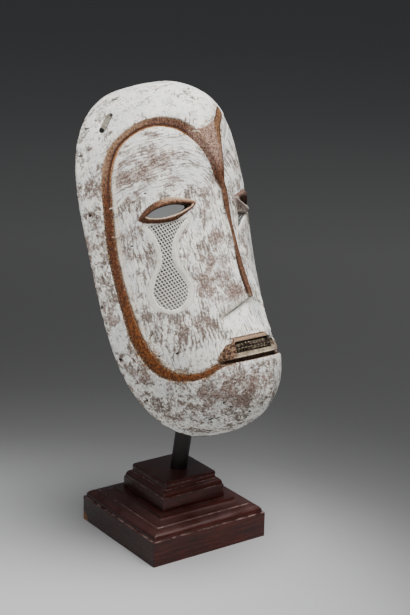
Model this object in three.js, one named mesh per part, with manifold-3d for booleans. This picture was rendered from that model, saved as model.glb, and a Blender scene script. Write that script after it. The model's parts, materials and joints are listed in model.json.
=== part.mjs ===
// A tall wooden face mask, hollow at the back, on a rod above its stepped wooden stand.
// Millimetres, +Z up, origin at the middle of the stand's underside.
import * as THREE from "three";
import { mergeVertices } from "three/addons/utils/BufferGeometryUtils.js";
import Module from "manifold-3d";

const wasm = await Module();
wasm.setup();

// Stand: two square moulded tiers, half sides and heights
const LOWER_HALF = 75;
const LOWER_FACE_TOP = 28.4;
const LOWER_TOP = 44.2;
const UPPER_HALF = 41;
const UPPER_BOTTOM = 44.5;
const UPPER_FACE_TOP = 58.2;
const UPPER_TOP = 74.5;

// Rod: a round bar that leans forward from the upper tier into the wood behind the nose
const ROD_RADIUS = 9.4;
const ROD_FOOT = new THREE.Vector3(4.7, -2.7, UPPER_TOP);
const ROD_RISE = new THREE.Vector3(0, -0.208, 1).normalize();
const ROD_SUNK = 11;
const ROD_LENGTH_ABOVE = 277;
const ROD_SIDES = 24;
const GAP = 0.3;

// Corners nearer than this are one corner
const SHORTEST_EDGE = 2e-3;

// Where the mask is held: turned to one side, leaning back, tipped in its own plane (degrees)
const MASK_PLACE = new THREE.Vector3(-2, 25, 330);
const MASK_TURN = 15;
const MASK_LEAN = 22;
const MASK_TIP = 5;

// The mask's own axes: x to the viewer's right, y up the face, z out of the face from the rim's plane.
// A boat-like form is given by its half width, its reach up and down, and its depth over the rim.
const OUTSIDE = {
  halfWidth: 113.5,
  depth: 103,
  keel: 0.31,
  belly: 3.5,
  up: { reach: 174, flank: 3.15, corner: 2.0, swell: 91.5, end: 2.1 },
  down: { reach: 216, flank: 3.8, corner: 1.56, swell: 69, end: 2.85 },
};
const HOLLOW = {
  halfWidth: 101.5,
  depth: 72,
  keel: 0,
  belly: 3,
  up: { reach: 156, flank: 3.15, corner: 2.0, swell: 73.5, end: 2.1 },
  down: { reach: 196, flank: 3.8, corner: 1.7, swell: 60, end: 2.85 },
};

// Face panels: a sunk lobe each side of the crest, edge points of the left one with the slope's width
const LOBE_MIDDLE = [-50, -20];
const LOBE_EDGE = [
  [-5, 44, 2], [-8, 62, 2], [-14, 78, 3], [-22, 90, 5], [-31, 100, 8.5], [-42, 109, 9.5],
  [-57, 114, 9.5], [-71, 109, 7.5], [-83, 95, 7], [-92, 67, 7], [-96, 27, 7], [-98, -14, 6.5],
  [-97, -58, 7], [-93, -97, 8], [-86, -122, 8], [-77, -139, 7.5], [-63, -146, 7.5],
  [-50, -141, 5], [-36, -141, 2.5], [-18, -141.5, 2.5], [1.5, -141.5, 2],
];
const CREST_LEFT = -1.5;
const CREST_RIGHT = 4.5;
const NOSE_TIP = -79;
const PANEL_DROP = 5;
const PILLOW_LEFT = 3;
const PILLOW_RIGHT = 6;
const RIGHT_CHEEK = {
  sunk: 12, middle: 60, inward: 36, outward: 31,
  from: 35, full: -85, fading: -105, end: -158,
};
const RIGHT_FOREHEAD = { eased: 0.8, from: 60, full: 112 };
const BORDER_LIP = 1.6;

// Nose, mouth and eyes
const NOSE_WING = [38, -95];
const LIP_SCOOP = 7.5;
const MOUTH = { left: -45, right: 26, top: -118, bottom: -139.5, cutLeft: 10, cutRight: 24 };
const MOUTH_OPEN = { left: -34, right: 17, top: -122.5, bottom: -134, cutLeft: 0, cutRight: 12 };
const MOUTH_GAP = { left: -33, right: 16, top: -130, bottom: -134, cutLeft: 0, cutRight: 12 };
const MOUTH_CORNERS = { from: -136, to: -118 };
const MOUTH_RISE = 1.6;
const MOUTH_OPEN_DEPTH = 2.6;
const MOUTH_GAP_DEPTH = 5.5;
const MOUTH_SIDES = 12;
const EYE_MIDDLE = [-60, 24];
const EYE_LIDS = [
  [-84, 21], [-75, 34], [-60, 38.5], [-45, 34],
  [-34, 28.5], [-45, 20], [-58, 13.5], [-73, 14],
];
const EYE_SLIT = [
  [-79, 23], [-71, 28.5], [-60, 30], [-49, 29],
  [-40, 26.5], [-50, 22], [-60, 19.5], [-70, 19],
];
const SLIT_FLARE = { left: 1.6, right: 1.3 };
const RIGHT_EYE = { outer: 84, stretch: 1.3 };
const LID_RISE = 2.6;

// Tears under the eyes, as rows of height, left edge and right edge; the right one is a small triangle
const TEAR_SUNK = 1.8;
const LEFT_TEAR = [
  [14, -80, -45], [5, -76.5, -54], [-6, -74.5, -61.5], [-18, -74, -64.5], [-29, -76, -65],
  [-41, -81, -62], [-53, -84, -59.5], [-64, -83, -62], [-72, -79.5, -69], [-76.5, -76, -74],
];
const RIGHT_TEAR = [[12, 22, 52], [5, 20, 36], [-5, 16, 18]];

// Tying holes along the rim and the slot in the forehead's corner
const RIM_HOLE_RADIUS = 1.8;
const RIM_HOLES = [[-109, 38], [-112, -5], [-112, -58], [-105, -115], [-84, -163]];
const SLOT = { from: [-69, 140], to: [-84, 121], width: 7, hole: 2.5 };

// Looks of the pieces
const CHALKED_WOOD = { color: 0xcfcac2, roughness: 0.9, metalness: 0 };
const DARK_MAHOGANY = { color: 0x3a1713, roughness: 0.35, metalness: 0 };
const BLACKENED_ROD = { color: 0x15100e, roughness: 0.45, metalness: 0 };

const radians = THREE.MathUtils.degToRad;
const lerp = THREE.MathUtils.lerp;

// Solids
function toSolid(geometry) {
  const bare = geometry.clone();
  bare.deleteAttribute("normal");
  bare.deleteAttribute("uv");
  const merged = mergeVertices(bare, SHORTEST_EDGE);
  const spots = merged.attributes.position;
  const corner = [new THREE.Vector3(), new THREE.Vector3(), new THREE.Vector3()];
  const faces = [];
  let volume = 0;
  for (let i = 0; i < merged.index.count; i += 3) {
    const face = [0, 1, 2].map((k) => merged.index.getX(i + k));
    if (new Set(face).size < 3) continue;
    face.forEach((spot, k) => corner[k].fromBufferAttribute(spots, spot));
    volume += corner[0].dot(corner[1].clone().cross(corner[2])) / 6;
    faces.push(face);
  }
  const outward = volume > 0 ? faces : faces.map((face) => face.reverse());
  const mesh = new wasm.Mesh({
    numProp: 3,
    vertProperties: new Float32Array(spots.array),
    triVerts: new Uint32Array(outward.flat()),
  });
  return new wasm.Manifold(mesh);
}

function toGeometry(solid) {
  const mesh = solid.getMesh();
  const cut = new THREE.BufferGeometry();
  cut.setAttribute("position", new THREE.BufferAttribute(new Float32Array(mesh.vertProperties), 3));
  cut.setIndex(new THREE.BufferAttribute(new Uint32Array(mesh.triVerts), 1));
  const geometry = mergeVertices(cut, SHORTEST_EDGE);
  const corners = Array.from(geometry.index.array);
  const faces = corners.filter((_, i) => {
    const [a, b, c] = corners.slice(i - (i % 3), i - (i % 3) + 3);
    return a !== b && b !== c && c !== a;
  });
  geometry.setIndex(faces);
  geometry.computeVertexNormals();
  return geometry;
}

// A closed skin of rings, whose corners place(ring, side) gives: the first and last ring are one point each
function ringSolid(rings, sides, place) {
  const profile = Array.from({ length: rings }, (_, k) => new THREE.Vector2(k % (rings - 1) ? 1 : 0, k));
  const geometry = new THREE.LatheGeometry(profile, sides);
  const spots = geometry.attributes.position;
  for (let i = 0; i < spots.count; i += 1) {
    spots.setXYZ(i, ...place(i % rings, Math.floor(i / rings) % sides));
  }
  return toSolid(geometry);
}

// A block whose corners are moved by place(x, y, z), each from 0 to 1
function blockSolid(steps, place) {
  const geometry = new THREE.BoxGeometry(1, 1, 1, ...steps);
  const spots = geometry.attributes.position;
  for (let i = 0; i < spots.count; i += 1) {
    spots.setXYZ(i, ...place(spots.getX(i) + 0.5, spots.getY(i) + 0.5, spots.getZ(i) + 0.5));
  }
  return toSolid(geometry);
}

// A round bar from one point along a direction
function barSolid(from, along, length, radius, sides) {
  const geometry = new THREE.CylinderGeometry(radius, radius, length, sides);
  geometry.translate(0, length / 2, 0);
  geometry.applyQuaternion(new THREE.Quaternion().setFromUnitVectors(new THREE.Vector3(0, 1, 0), along));
  geometry.translate(from.x, from.y, from.z);
  return geometry;
}

// The boat-like forms
const clamped = (value) => THREE.MathUtils.clamp(value, 0, 1);
const endOf = (form, v) => (v > 0 ? form.up : form.down);

function halfWidthAt(form, v) {
  const end = endOf(form, v);
  return form.halfWidth * clamped(1 - (Math.abs(v) / end.reach) ** end.flank) ** (1 / end.corner);
}

function depthAt(form, v) {
  const end = endOf(form, v);
  const t = clamped(Math.abs(v) / end.reach);
  return (form.depth + end.swell * t * t) * clamped(1 - t ** end.end) ** (1 / end.end);
}

function heightAt(form, u, v) {
  const x = clamped(Math.abs(u) / Math.max(halfWidthAt(form, v), 1e-6));
  return depthAt(form, v) * (1 - form.keel * x - (1 - form.keel) * x ** form.belly);
}

function reachAt(form, angle) {
  let near = 0;
  let far = 400;
  for (let step = 0; step < 40; step += 1) {
    const reach = (near + far) / 2;
    const v = reach * Math.sin(angle);
    const u = reach * Math.cos(angle);
    const within = Math.abs(v) < endOf(form, v).reach && Math.abs(u) < halfWidthAt(form, v);
    if (within) near = reach;
    else far = reach;
  }
  return near;
}

// Shares of the way out from the middle that cut a line, steep at its end, into even lengths
function evenShares(line, count) {
  const fine = 300;
  const shareOf = (k) => 1 - (1 - k / fine) ** 3;
  const lengths = [0];
  for (let k = 1; k <= fine; k += 1) {
    lengths.push(lengths[k - 1] + line(shareOf(k)).distanceTo(line(shareOf(k - 1))));
  }
  return Array.from({ length: count + 1 }, (_, k) => {
    const wanted = (lengths[fine] * k) / count;
    return k === count ? 1 : shareOf(lengths.findIndex((length) => length >= wanted));
  });
}

// A form as a solid, from its front down to its edge at one level and its flat back at another
function formSolid(form, rings, sides, edgeLevel, backLevel) {
  const rays = Array.from({ length: sides }, (_, i) => {
    const angle = (2 * Math.PI * i) / sides;
    const reach = reachAt(form, angle);
    const [du, dv] = [reach * Math.cos(angle), reach * Math.sin(angle)];
    const line = (t) => new THREE.Vector2(t * reach, t < 1 ? heightAt(form, t * du, t * dv) : 0);
    return { du, dv, shares: evenShares(line, rings) };
  });
  return ringSolid(rings + 3, sides, (ring, side) => {
    const { du, dv, shares } = rays[side];
    if (ring > rings + 1) return [0, 0, backLevel];
    if (ring > rings) return [du, dv, backLevel];
    const share = shares[ring];
    return [share * du, share * dv, ring === rings ? edgeLevel : heightAt(form, share * du, share * dv)];
  });
}

// How much deeper the right cheek lies than the left
function cheekSunk(u, v) {
  const { sunk, middle, inward, outward, from, full, fading, end } = RIGHT_CHEEK;
  const across = (u - middle) / (u < middle ? inward : outward);
  const along = THREE.MathUtils.smoothstep(-v, -from, -full) * THREE.MathUtils.smoothstep(v, end, fading);
  return sunk * Math.max(0, 1 - across ** 2) * along;
}

// Surface of a sunk face panel: a soft pillow that drops towards its edge, less so beside the nose
// and at the top of the right one
function panelAt(u, v) {
  const across = (Math.abs(u) - 50) / 48;
  const along = (v + 20) / (v > -20 ? 125 : 130);
  const edge = Math.min(Math.hypot(across, along), 1.05);
  const pillow = u < 0 ? PILLOW_LEFT : PILLOW_RIGHT;
  const besideCrest = THREE.MathUtils.smoothstep(50 - Math.abs(u), 10, 50);
  const towardNose = THREE.MathUtils.smoothstep(50 - v, 0, 130);
  const atTop = THREE.MathUtils.smoothstep(v, RIGHT_FOREHEAD.from, RIGHT_FOREHEAD.full);
  const eased = u < 0 ? 1 : 1 - RIGHT_FOREHEAD.eased * atTop;
  const drop = PANEL_DROP * edge ** pillow * (1 - 0.6 * besideCrest * towardNose) * eased;
  return heightAt(OUTSIDE, u, v) - drop - cheekSunk(u, v);
}

const curveThrough = (points, closed) => new THREE.CatmullRomCurve3(
  points.map(([u, v, w = 0]) => new THREE.Vector3(u, v, w)),
  closed,
);

// The cutter that sinks one panel: from the crest round by the forehead and the jaw to under the mouth
function lobeCutter(side) {
  const sides = 64;
  const arcSides = 52;
  const arc = curveThrough(LOBE_EDGE, false).getSpacedPoints(arcSides);
  const crest = side < 0 ? CREST_LEFT : -CREST_RIGHT;
  const under = 1.5;
  const straight = [
    [under, -125], [under, -105], [under, NOSE_TIP - 8], [crest - 2, NOSE_TIP + 1], [crest - 2, -60],
    [crest - 2, -40], [crest - 2.2, -20], [crest - 2.4, 0], [crest - 2.6, 15],
    [crest - 3, 30], [crest - 3.4, 38],
  ];
  const edge = [
    ...arc.map((point, k) => {
      const before = arc[Math.max(k - 1, 0)];
      const after = arc[Math.min(k + 1, arcSides)];
      const out = new THREE.Vector2(-(after.y - before.y), after.x - before.x).normalize().negate();
      return { u: point.x, v: point.y, outU: point.x + out.x * point.z, outV: point.y + out.y * point.z };
    }),
    ...straight.map(([u, v]) => ({ u, v, outU: u < 0 ? u + 1.6 : u, outV: v })),
  ];
  const rings = 6;
  return ringSolid(rings + 4, sides, (ring, i) => {
    const { u, v, outU, outV } = edge[i];
    const [middleU, middleV] = LOBE_MIDDLE;
    if (ring <= rings) {
      const share = ring / rings;
      const [x, y] = [lerp(middleU, u, share), lerp(middleV, v, share)];
      return [-side * x, y, panelAt(-side * x, y)];
    }
    const rim = heightAt(OUTSIDE, outU, outV);
    if (ring === rings + 1) return [-side * outU, outV, rim - BORDER_LIP];
    if (ring === rings + 2) return [-side * outU, outV, rim + 40];
    return [-side * middleU, middleV, heightAt(OUTSIDE, middleU, middleV) + 40];
  });
}

// Under the nose the lip falls back below the tip, sharply on the left and softly on the right
function lipScoop() {
  const half = NOSE_WING[0];
  return blockSolid([14, 6, 1], (x, y, z) => {
    const u = lerp(-half, half, x);
    const across = Math.abs(u) / half;
    const top = lerp(NOSE_TIP, NOSE_WING[1], across);
    const v = lerp(MOUTH.top - 1, top, y);
    const fall = u < 0 ? y : 2 * y * (1 - y);
    const depth = LIP_SCOOP * (1 - across ** 1.5) * fall + 0.4;
    return [u, v, z < 0.5 ? panelAt(u, v) + 1.5 * (1 - y) - depth : heightAt(OUTSIDE, u, v) + 30];
  });
}

// A block over the form between two heights, its upper corners cut away, for the mouth and its opening
function mouthBlock({ left, right, top, bottom, cutLeft, cutRight }, floorAt, roofAt) {
  return blockSolid([MOUTH_SIDES, 4, 1], (x, y, z) => {
    const v = lerp(bottom, top, y);
    const corner = clamped((v - MOUTH_CORNERS.from) / (MOUTH_CORNERS.to - MOUTH_CORNERS.from)) ** 2;
    const u = lerp(left + cutLeft * corner, right - cutRight * corner, x);
    return [u, v, heightAt(OUTSIDE, u, v) + (z < 0.5 ? floorAt(u) : roofAt(u))];
  });
}

function lipFront(u) {
  const across = (2 * u - MOUTH.left - MOUTH.right) / (MOUTH.right - MOUTH.left);
  return MOUTH_RISE * (1 - across ** 4);
}

// Places of the left eye as they lie on its own side: the right eye is longer towards the nose
function eyePlace(side, u) {
  return side < 0 ? u : RIGHT_EYE.outer - (RIGHT_EYE.outer + u) * RIGHT_EYE.stretch;
}

// An almond over the panel, round the eye's middle
function almond(points, side, sides, levels) {
  const edge = curveThrough(points, true).getSpacedPoints(sides);
  return ringSolid(levels.length, sides, (ring, i) => {
    const { share, level } = levels[ring];
    const u = eyePlace(side, lerp(EYE_MIDDLE[0], edge[i].x, share));
    const v = lerp(EYE_MIDDLE[1], edge[i].y, share);
    return [u, v, panelAt(u, v) + level];
  });
}

function eyeLids(side) {
  return almond(EYE_LIDS, side, 24, [
    { share: 0, level: LID_RISE }, { share: 0.5, level: LID_RISE }, { share: 0.78, level: LID_RISE * 0.9 },
    { share: 1, level: 0.5 }, { share: 1, level: -3 }, { share: 0, level: -3 },
  ]);
}

// A slit that widens towards the hollow, as if opened with a knife from behind
function eyeSlit(side) {
  const flare = side < 0 ? SLIT_FLARE.left : SLIT_FLARE.right;
  return almond(EYE_SLIT, side, 16, [
    { share: 0, level: 20 }, { share: 1, level: 20 }, { share: 1, level: 0 },
    { share: flare, level: -24 }, { share: flare, level: -60 }, { share: 0, level: -60 },
  ]);
}

// A shallow bed for the crossed lines of a tear
function tearBed(rows) {
  const edges = curveThrough(rows.map(([v, left, right]) => [left, v, right]), false).getSpacedPoints(14);
  return blockSolid([4, 14, 1], (x, y, z) => {
    const row = edges[Math.round(y * 14)];
    const u = lerp(row.x, row.z, x);
    return [u, row.y, panelAt(u, row.y) + (z < 0.5 ? -TEAR_SUNK : 6)];
  });
}

// Points and directions on the outside
function onOutside([u, v]) {
  return new THREE.Vector3(u, v, heightAt(OUTSIDE, u, v));
}

function outwardAt([u, v]) {
  const step = 0.5;
  const slopeU = (heightAt(OUTSIDE, u + step, v) - heightAt(OUTSIDE, u - step, v)) / (2 * step);
  const slopeV = (heightAt(OUTSIDE, u, v + step) - heightAt(OUTSIDE, u, v - step)) / (2 * step);
  return new THREE.Vector3(-slopeU, -slopeV, 1).normalize();
}

function tyingHole(spot, radius, depth) {
  const out = outwardAt(spot);
  const start = onOutside(spot).addScaledVector(out, 5);
  return toSolid(barSolid(start, out.negate(), depth, radius, 8));
}

function foreheadSlot() {
  const { from, to, width, hole } = SLOT;
  const ends = [onOutside(from), onOutside(to)];
  const along = ends[1].clone().sub(ends[0]);
  const groove = new THREE.CapsuleGeometry(width / 2, along.length() - width, 3, 10);
  const upright = new THREE.Vector3(0, 1, 0);
  groove.applyQuaternion(new THREE.Quaternion().setFromUnitVectors(upright, along.normalize()));
  const middle = ends[0].add(ends[1]).multiplyScalar(0.5);
  groove.translate(middle.x, middle.y, middle.z);
  const low = [lerp(from[0], to[0], 0.8), lerp(from[1], to[1], 0.8)];
  return toSolid(groove).add(tyingHole(low, hole, 34));
}

// The mask in its own axes, with the rod's bore given in the same axes
function maskSolid(rodBore) {
  let mask = formSolid(OUTSIDE, 13, 64, 0.4, 0).subtract(formSolid(HOLLOW, 8, 44, 0.8, -4));
  for (const side of [-1, 1]) {
    mask = mask.subtract(lobeCutter(side));
  }
  mask = mask.subtract(lipScoop());
  mask = mask.add(mouthBlock(MOUTH, () => -14, lipFront));
  mask = mask.subtract(mouthBlock(MOUTH_OPEN, (u) => lipFront(u) - MOUTH_OPEN_DEPTH, () => 30));
  mask = mask.subtract(mouthBlock(MOUTH_GAP, (u) => lipFront(u) - MOUTH_GAP_DEPTH, () => 30));
  for (const rows of [LEFT_TEAR, RIGHT_TEAR]) {
    mask = mask.subtract(tearBed(rows));
  }
  for (const side of [-1, 1]) {
    mask = mask.add(eyeLids(side)).subtract(eyeSlit(side));
    for (const [u, v] of RIM_HOLES) {
      mask = mask.subtract(tyingHole([-side * u, v], RIM_HOLE_RADIUS, 45));
    }
  }
  return mask.subtract(foreheadSlot()).subtract(rodBore);
}

// A square moulding turned from its profile of half sides and heights
function squareTier(profile) {
  const points = profile.map(([half, z]) => new THREE.Vector2(half * Math.SQRT2, z));
  const geometry = new THREE.LatheGeometry(points, 4, Math.PI / 4);
  geometry.rotateX(Math.PI / 2);
  return toSolid(geometry);
}

// A quarter-round between two corners of a moulding, hollow or bulging
function quarter(from, to, bulging, steps) {
  return Array.from({ length: steps + 1 }, (_, k) => {
    const turn = (Math.PI / 2) * (k / steps);
    const early = Math.sin(turn);
    const late = 1 - Math.cos(turn);
    const [inward, upward] = bulging ? [late, early] : [early, late];
    return [lerp(from[0], to[0], inward), lerp(from[1], to[1], upward)];
  });
}

function lowerTier() {
  return squareTier([
    [0, 0], [LOWER_HALF, 0], [LOWER_HALF, LOWER_FACE_TOP], [LOWER_HALF - 2.5, LOWER_FACE_TOP + 0.6],
    ...quarter([LOWER_HALF - 2.5, 30.5], [LOWER_HALF - 13, 37.5], true, 4),
    ...quarter([LOWER_HALF - 14, 38.5], [LOWER_HALF - 25, 42.5], false, 4),
    [LOWER_HALF - 25.5, LOWER_TOP], [0, LOWER_TOP],
  ]);
}

function upperTier(rodBore) {
  return squareTier([
    [0, UPPER_BOTTOM], [UPPER_HALF + 0.4, UPPER_BOTTOM], [UPPER_HALF, UPPER_FACE_TOP],
    ...quarter([UPPER_HALF - 1, UPPER_FACE_TOP + 0.8], [UPPER_HALF - 5.5, 65.5], true, 4),
    ...quarter([UPPER_HALF - 6, 66], [UPPER_HALF - 7.2, 70], false, 2),
    ...quarter([UPPER_HALF - 6.8, 70.8], [UPPER_HALF - 8.6, UPPER_TOP], true, 3),
    [0, UPPER_TOP],
  ]).subtract(rodBore);
}

// Assembly
function piece(name, geometry, look) {
  const mesh = new THREE.Mesh(geometry, new THREE.MeshStandardMaterial(look));
  mesh.name = name;
  return mesh;
}

const rodStart = ROD_FOOT.clone().addScaledVector(ROD_RISE, -ROD_SUNK);
const rodLength = ROD_SUNK + ROD_LENGTH_ABOVE;
const rodBar = barSolid(rodStart, ROD_RISE, rodLength, ROD_RADIUS, ROD_SIDES);
const boreStart = rodStart.clone().addScaledVector(ROD_RISE, -GAP);
const boreBar = barSolid(boreStart, ROD_RISE, rodLength + 2 * GAP, ROD_RADIUS + GAP, ROD_SIDES);

const turned = new THREE.Group();
turned.position.copy(MASK_PLACE);
turned.rotation.z = radians(MASK_TURN);
const leaning = new THREE.Group();
leaning.rotation.x = radians(90 - MASK_LEAN);
const tipped = new THREE.Group();
tipped.rotation.z = radians(-MASK_TIP);
turned.add(leaning);
leaning.add(tipped);
turned.updateMatrixWorld(true);
const boreInMask = boreBar.clone().applyMatrix4(tipped.matrixWorld.clone().invert());

const group = new THREE.Group();
group.add(piece("base_lower", toGeometry(lowerTier()), DARK_MAHOGANY));
group.add(piece("base_upper", toGeometry(upperTier(toSolid(boreBar))), DARK_MAHOGANY));
group.add(piece("rod", toGeometry(toSolid(rodBar)), BLACKENED_ROD));
tipped.add(piece("mask", toGeometry(maskSolid(toSolid(boreInMask))), CHALKED_WOOD));
group.add(turned);

export default group;
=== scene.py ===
import functools
import json
import math

import bmesh
import bpy
import numpy as np
from mathutils import Matrix, Vector

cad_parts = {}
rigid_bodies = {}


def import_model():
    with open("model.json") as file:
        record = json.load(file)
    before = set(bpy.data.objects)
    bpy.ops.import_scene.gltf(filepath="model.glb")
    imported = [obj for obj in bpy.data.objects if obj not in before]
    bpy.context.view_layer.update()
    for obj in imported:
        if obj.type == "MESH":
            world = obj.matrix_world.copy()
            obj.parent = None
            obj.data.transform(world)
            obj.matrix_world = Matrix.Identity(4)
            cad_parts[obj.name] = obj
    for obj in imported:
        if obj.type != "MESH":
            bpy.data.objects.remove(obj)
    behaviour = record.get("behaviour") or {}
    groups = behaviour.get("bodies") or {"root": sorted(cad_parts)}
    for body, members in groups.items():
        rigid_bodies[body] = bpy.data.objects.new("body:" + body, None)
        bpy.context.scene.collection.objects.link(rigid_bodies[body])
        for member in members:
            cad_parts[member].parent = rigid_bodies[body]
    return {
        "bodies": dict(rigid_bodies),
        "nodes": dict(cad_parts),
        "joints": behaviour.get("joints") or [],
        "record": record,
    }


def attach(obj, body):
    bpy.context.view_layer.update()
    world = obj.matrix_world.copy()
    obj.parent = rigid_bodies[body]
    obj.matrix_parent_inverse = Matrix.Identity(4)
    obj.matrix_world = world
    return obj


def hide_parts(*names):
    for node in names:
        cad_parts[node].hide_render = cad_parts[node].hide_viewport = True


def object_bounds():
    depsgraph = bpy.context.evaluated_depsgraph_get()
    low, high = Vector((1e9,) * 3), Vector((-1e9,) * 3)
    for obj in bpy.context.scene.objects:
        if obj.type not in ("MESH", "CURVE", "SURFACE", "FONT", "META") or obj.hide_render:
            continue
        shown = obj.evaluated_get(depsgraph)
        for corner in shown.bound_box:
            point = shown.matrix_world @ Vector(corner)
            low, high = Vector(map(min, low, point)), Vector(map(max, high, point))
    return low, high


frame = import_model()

MM = 0.001
cad_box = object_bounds()

# Where the mask is held: its own axes are right, up and out of the face
MASK_PLACE = np.array([-2.0, 25.0, 330.0])
MASK_TURN = 15
MASK_LEAN = 22
MASK_TIP = 5

# The boat-like outside of the mask, as in the part: half width, depth, and how it ends up and down
OUTSIDE = {
    "half_width": 113.5, "depth": 103, "keel": 0.31, "belly": 3.5,
    "up": {"reach": 174, "flank": 3.15, "corner": 2.0, "swell": 91.5, "end": 2.1},
    "down": {"reach": 216, "flank": 3.8, "corner": 1.56, "swell": 69, "end": 2.85},
}

# Sunk face panels: points of the left panel's edge with the width of the slope outside it
LOBE_MIDDLE = (50, -20)
LOBE_REACH = {"across": 48, "up": 125, "down": 130}
LOBE_EDGE = [
    (-5, 44, 2), (-8, 62, 2), (-14, 78, 3), (-22, 90, 5), (-31, 100, 8.5), (-42, 109, 9.5),
    (-57, 114, 9.5), (-71, 109, 7.5), (-83, 95, 7), (-92, 67, 7), (-96, 27, 7), (-98, -14, 6.5),
    (-97, -58, 7), (-93, -97, 8), (-86, -122, 8), (-77, -139, 7.5), (-63, -146, 7.5),
    (-50, -141, 5), (-36, -141, 2.5), (-18, -141.5, 2.5), (1.5, -141.5, 2),
]
CREST_LEFT = -1.5
CREST_RIGHT = 4.5
NOSE_TIP = -79
NOSE_WING = (38, -95)
PANEL_DROP = 5
PILLOW = {-1: 3, 1: 6}
RIGHT_CHEEK = {"sunk": 12, "middle": 60, "inward": 36, "outward": 31}
RIGHT_CHEEK_ALONG = {"from": 35, "full": -85, "fading": -105, "end": -158}
RIGHT_FOREHEAD = {"eased": 0.8, "from": 60, "full": 112}
BORDER_LIP = 1.6
BAND_CREASE = 0.9
CREST_PAINT = [
    (-31, 100), (-26, 103), (-22, 103), (-14, 103.5), (-5, 107), (5, 114), (15, 122.5), (24, 128),
    (29, 127), (30, 121), (26.5, 116.5), (18.5, 110.5), (11.5, 104.5), (8, 94), (5.5, 78), (4.3, 57),
    (4.6, 41), (5.8, 30), (9.3, 18), (9.6, 0), (9.2, -18), (9, -36), (8.8, -63), (8, -79), (-2.5, -80),
    (-3.6, -62), (-2.6, -36), (-1.6, -18), (-1.6, 0), (-3, 18), (-3.4, 36), (-4.5, 47), (-9, 60),
    (-15, 74), (-22, 90),
]

# Eyes, tears and mouth; a tear is rows of height, left edge and right edge
EYE_LIDS = [(-84, 21), (-75, 34), (-60, 38.5), (-45, 34), (-34, 28.5), (-45, 20), (-58, 13.5), (-73, 14)]
EYE_SLIT = [(-79, 23), (-71, 28.5), (-60, 30), (-49, 29), (-40, 26.5), (-50, 22), (-60, 19.5), (-70, 19)]
LID_RISE = 2.6
LEFT_TEAR = [
    (14, -80, -45), (5, -76.5, -54), (-6, -74.5, -61.5), (-18, -74, -64.5), (-29, -76, -65), (-41, -81, -62),
    (-53, -84.5, -59), (-62, -84.5, -60), (-69, -83, -62.5), (-74, -80, -66.5), (-77.2, -76, -71.5),
]
RIGHT_TEAR = [(12, 22, 52), (5, 20, 36), (-5, 16, 18)]
TEAR_SUNK = 1.4
RIGHT_EYE = {"outer": 84, "stretch": 1.3}
MOUTH = {"left": -45, "right": 26, "top": -118, "bottom": -139.5, "cut_left": 10, "cut_right": 24}
MOUTH_OPEN = {"left": -34, "right": 17, "top": -122.5, "bottom": -134, "cut_left": 0, "cut_right": 12}
MOUTH_CORNERS = (-136, -118)
MOUTH_RISE = 1.6
MOUTH_OPEN_DEPTH = 2.6
SCOOP_DEPTH = 6.3

# The mouth's teeth, in two rows, each between two heights
TOOTH_PITCH = 3.4
TOOTH_RISE = 1.9
TOOTH_ROWS = [(-127.6, -123.9), (-132.6, -128.9)]

# The hollow at the back
HOLLOW = {
    "half_width": 101.5, "depth": 72, "keel": 0, "belly": 3,
    "up": {"reach": 156, "flank": 3.15, "corner": 2.0, "swell": 73.5, "end": 2.1},
    "down": {"reach": 196, "flank": 3.8, "corner": 1.7, "swell": 60, "end": 2.85},
}

# Crossed lines in the tears: two directions in degrees, each with its spacing, and the lines' width
HATCH_ACROSS = (19.5, 3.2)
HATCH_DOWN = (-74, 2.2)
HATCH_DEPTH = 0.7
HATCH_LINE = 0.35
TEAR_MARGIN = 1.1

# Wormholes and small pits, seen on the front
WORMHOLES = [
    (-53, 156), (-85, 130), (-100, 102), (-76, 47), (-90, -3), (-59, -16), (-85, -120), (-76, -121),
    (6, -101), (-28, -173), (-42, -181), (-35, -187), (-36, -196), (-39, -196), (-16, -196), (-22, -152),
    (-30, -160),
]
WORMHOLE_RADIUS = 0.9
WORMHOLE_DEPTH = 1.3

# The forehead's slot: its ends, half its width, and its hole as a share of the way down with a radius
SLOT_ENDS = ((-69, 140), (-84, 121))
SLOT_HALF = 3.5
SLOT_HOLE = (0.84, 4.6)

# Dents as place, reach and depth; scratches and cracks as two ends; unevenness as size, rise and seed
RIM_DENTS = [
    (-97, 119, 5, 3.2), (-103, 108, 7, 0.8), (-111, -30, 7, 0.9), (-100, -128, 8, 1.0), (-12, -212, 9, 1.0),
]
PALE_SCRATCHES = [(-104, 39, -93, 41), (-28, 103, -19, 100), (-104, 12, -96, 10), (-14, -66, -8, -60)]
DARK_CRACKS = [(-45, 149, -32, 144), (-6, -148, -7, -160), (-118, 6, -104, 5)]
UNEVEN = ((22, 0.5, 3), (8, 0.16, 5))

# Where the chalk is rubbed thin: place on the face, reach and strength
RUBBED = [
    (-108, 7, 14, 0.9), (-104, 60, 16, 0.5), (-111, -71, 16, 0.8), (-91, -140, 18, 0.5),
    (-67, -178, 20, 0.5),
    (-46, -150, 12, 0.9), (-22, -162, 12, 0.7), (-48, -172, 18, 0.6), (-4, -173, 22, 0.8),
    (-30, -185, 20, 0.6),
    (-57, 86, 14, 0.8), (-82, 72, 14, 0.7), (-90, 47, 9, 0.6), (-68, 66, 12, 0.6), (-51, 56, 7, 1.0),
    (-17, -9, 8, 1.0), (-20, 20, 8, 0.6), (-33, -39, 16, 0.8), (-45, -62, 14, 0.9), (-14, -70, 9, 1.3),
    (-30, -80, 9, 0.9), (-20, -45, 8, 0.7), (-73, -98, 14, 0.5), (-58, -100, 14, 0.5), (-84, -94, 10, 0.4),
    (-90, 14, 8, 0.5), (-92, -15, 8, 0.5), (-88, -45, 10, 0.3), (-25, 40, 12, 0.6), (30, 0, 40, 0.3),
    (60, -150, 40, 0.5), (80, 60, 40, 0.4), (100, -60, 30, 0.6),
]

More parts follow.
